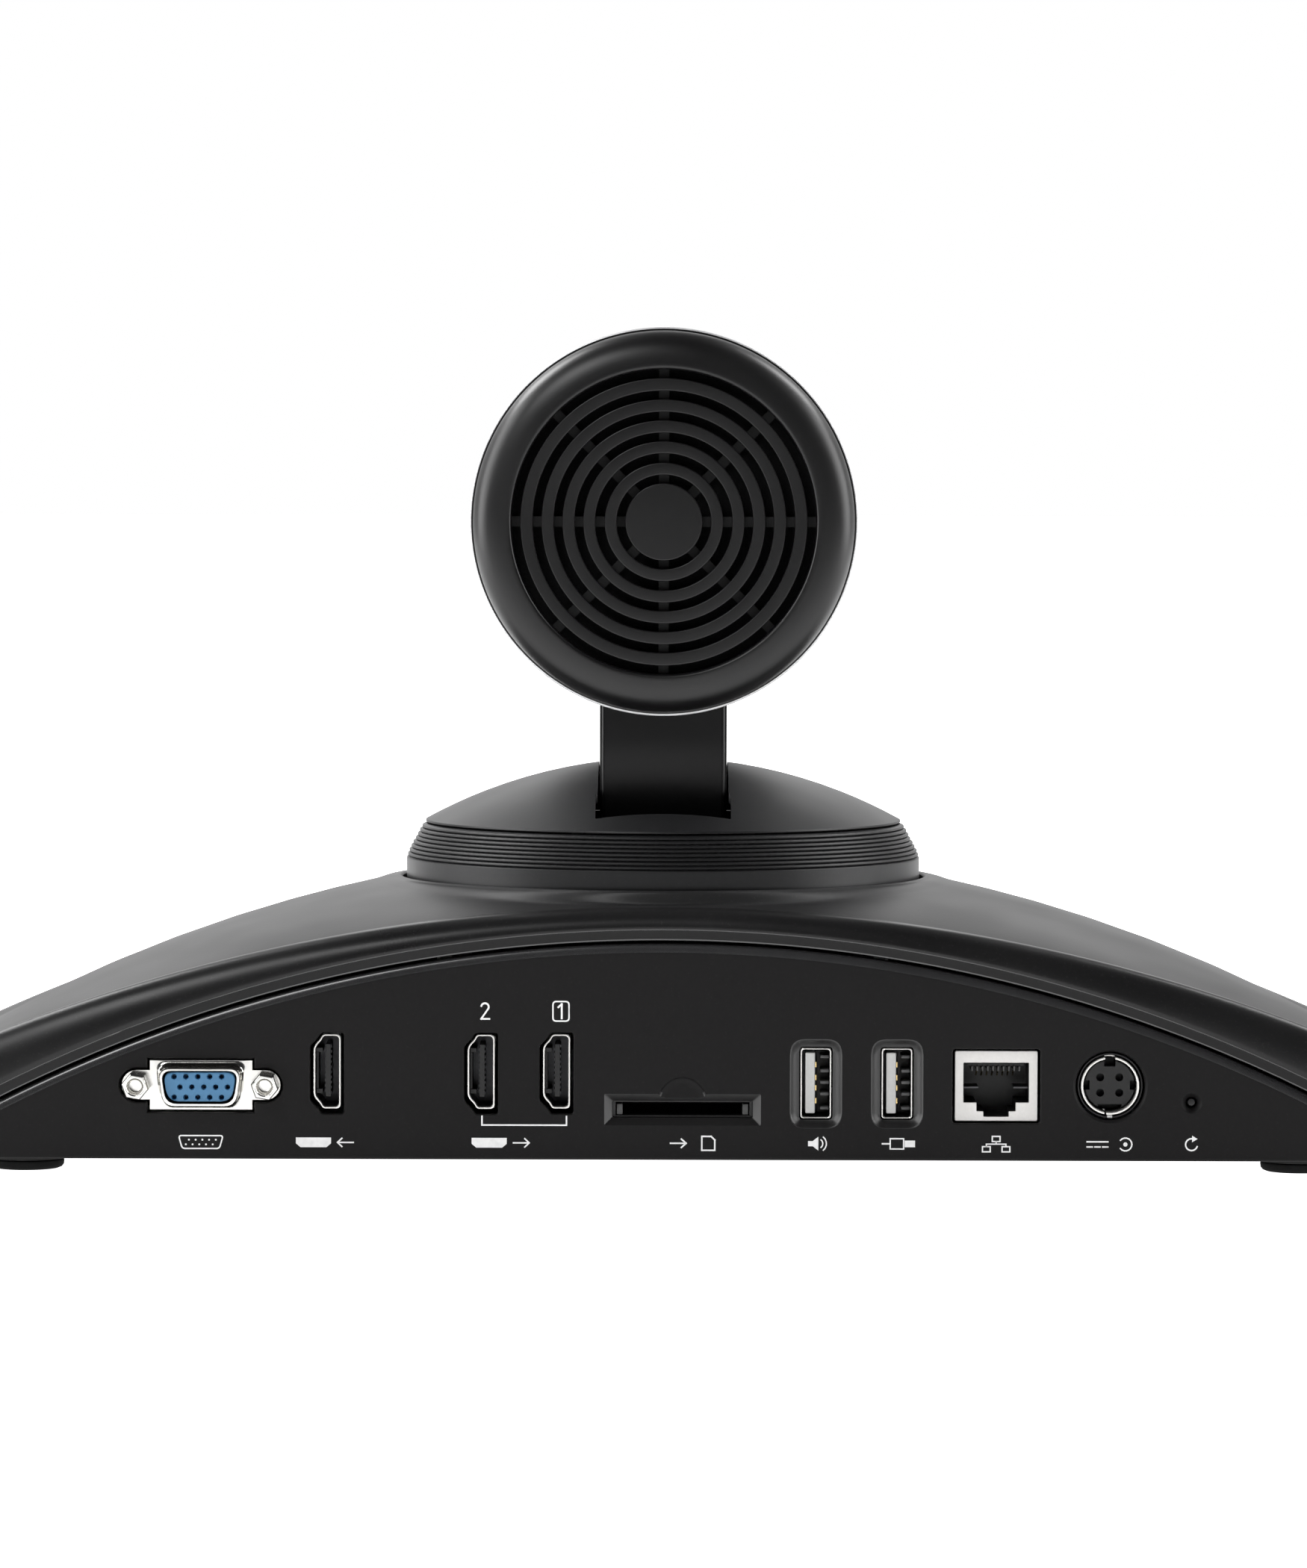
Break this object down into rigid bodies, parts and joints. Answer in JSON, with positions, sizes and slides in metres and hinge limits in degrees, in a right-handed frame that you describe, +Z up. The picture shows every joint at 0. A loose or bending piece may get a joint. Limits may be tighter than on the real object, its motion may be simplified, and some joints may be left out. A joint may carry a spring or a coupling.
{
  "type": "ptz camera",
  "caption": "Desktop pan-tilt-zoom conference camera: arched base with connector panel, ribbed pan turret, tilting neck and drum head with ring vent.",
  "frame": {"origin": "centre of the object's box at floor level", "axes": "+X to the object's left when seen from behind (longest extent), +Y towards the connector panel, lens looks along -Y, +Z up; the pan axis is vertical at y = +9.8 mm"},
  "size_m": [0.344, 0.1484, 0.1642],
  "materials": {
    "shell_plastic": "satin, fine grain",
    "panel_plastic": "fine matte texture",
    "gloss_black": "polished",
    "ir_plastic": "polished, dark red",
    "light_pipe": "clear",
    "foot_rubber": "matte",
    "bright_metal": "nickel plated",
    "steel": "plain",
    "blue_plastic": "moulded",
    "black_plastic": "moulded",
    "white_plastic": "moulded",
    "board": "solder mask",
    "gear_nylon": "moulded",
    "silver_trim": "satin",
    "lens_glass": "coated"
  },
  "bodies": {
    "base": {"base_top_cover": "shell_plastic", "base_bottom_tray": "panel_plastic", "rear_panel": "panel_plastic", "front_fascia": "gloss_black", "ir_window": "ir_plastic", "status_led": "light_pipe", "foot_rear_left": "foot_rubber", "foot_rear_right": "foot_rubber", "foot_front_left": "foot_rubber", "foot_front_right": "foot_rubber", "main_board": "board", "vga_shell": "bright_metal", "vga_insert": "blue_plastic", "vga_jackscrew_left": "bright_metal", "vga_jackscrew_right": "bright_metal", "hdmi_in_shell": "bright_metal", "hdmi_in_tongue": "black_plastic", "hdmi_out_2_shell": "bright_metal", "hdmi_out_2_tongue": "black_plastic", "hdmi_out_1_shell": "bright_metal", "hdmi_out_1_tongue": "black_plastic", "sd_card_slot": "black_plastic", "usb_a_shell_1": "bright_metal", "usb_a_shell_2": "bright_metal", "usb_a_tongue_1": "white_plastic", "usb_a_tongue_2": "white_plastic", "lan_jack_shell": "bright_metal", "lan_jack_insert": "black_plastic", "dc_jack_housing": "black_plastic", "dc_jack_ring": "bright_metal", "pan_bearing": "steel", "pan_motor": "steel", "tray_screw_1": "steel", "tray_screw_2": "steel", "tray_screw_3": "steel", "tray_screw_4": "steel"},
    "reset_button": {"reset_button": "black_plastic"},
    "pan_pinion": {"pan_pinion": "gear_nylon"},
    "turret": {"turret_chassis": "black_plastic", "turret_collar": "shell_plastic", "turret_dome": "shell_plastic", "pan_gear": "gear_nylon", "tilt_bracket_left": "steel", "tilt_bracket_right": "steel", "tilt_motor": "steel"},
    "tilt_pinion": {"tilt_pinion": "gear_nylon"},
    "head": {"neck_frame": "shell_plastic", "neck_rear_cover": "shell_plastic", "tilt_axle": "steel", "tilt_gear": "gear_nylon", "head_rear_cover": "shell_plastic", "vent_screen": "black_plastic", "head_trim_ring": "silver_trim", "head_upper_shell": "shell_plastic", "head_lower_shell": "shell_plastic", "front_bezel": "gloss_black", "lens_barrel": "gloss_black", "front_lens": "lens_glass", "sensor_board": "board"},
    "zoom_group": {"zoom_group": "black_plastic"}
  },
  "joints": [
    {"name": "pan", "type": "hinge", "parent": "base", "child": "turret", "pos_m": [0, 0.0098, 0.05], "axis": [0, 0, 1], "range_deg": [-100, 100]},
    {"name": "pan_pinion_spin", "type": "hinge", "parent": "base", "child": "pan_pinion", "pos_m": [0, -0.02895, 0.0258], "axis": [0, 0, 1], "range_deg": [-345, 345]},
    {"name": "tilt", "type": "hinge", "parent": "turret", "child": "head", "pos_m": [0, 0.0098, 0.0578], "axis": [-1, 0, 0], "range_deg": [-25, 25]},
    {"name": "tilt_pinion_spin", "type": "hinge", "parent": "turret", "child": "tilt_pinion", "pos_m": [0.014, -0.00859, 0.04237], "axis": [-1, 0, 0], "range_deg": [-76, 76]},
    {"name": "zoom", "type": "slide", "parent": "head", "child": "zoom_group", "axis": [0, -1, 0], "range_m": [-0.006, 0.008]},
    {"name": "reset_press", "type": "slide", "parent": "base", "child": "reset_button", "axis": [0, -1, 0], "range_m": [0, 0.0005], "stiffness_N_per_m": 300}
  ],
  "couplings": [
    {"joint": "pan_pinion_spin", "follows": "pan", "ratio": -3.4286},
    {"joint": "tilt_pinion_spin", "follows": "tilt", "ratio": -3}
  ]
}
